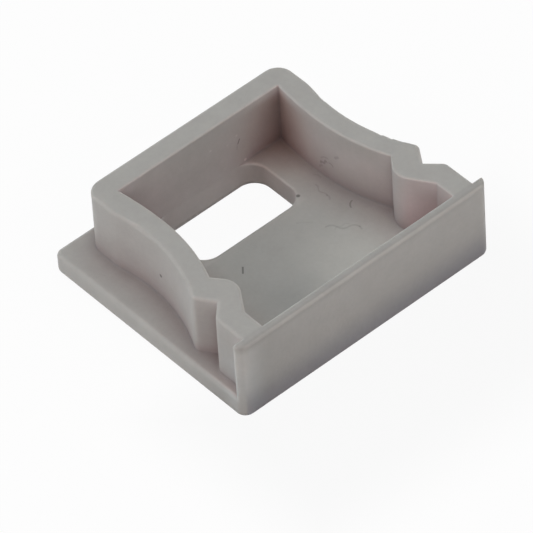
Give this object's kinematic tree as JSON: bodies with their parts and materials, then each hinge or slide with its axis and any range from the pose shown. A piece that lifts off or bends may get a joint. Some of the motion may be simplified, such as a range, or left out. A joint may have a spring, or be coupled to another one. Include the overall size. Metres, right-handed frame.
{
  "type": "profile end cap",
  "caption": "Moulded plastic end cap for a lighting profile: flat plate, hollow notched plug wall that presses into the profile, and a cable window.",
  "frame": {"origin": "middle of the plate's underside box, on the outer face", "axes": "+X along the front wall, -Y out of the front wall's outer face, +Z from the plate into the profile, the way the plug points"},
  "size_m": [0.017, 0.0148, 0.0052],
  "materials": {
    "plastic": "matte, slightly waxy, warm mid grey"
  },
  "bodies": {
    "root": {"end_cap": "plastic"}
  },
  "joints": []
}
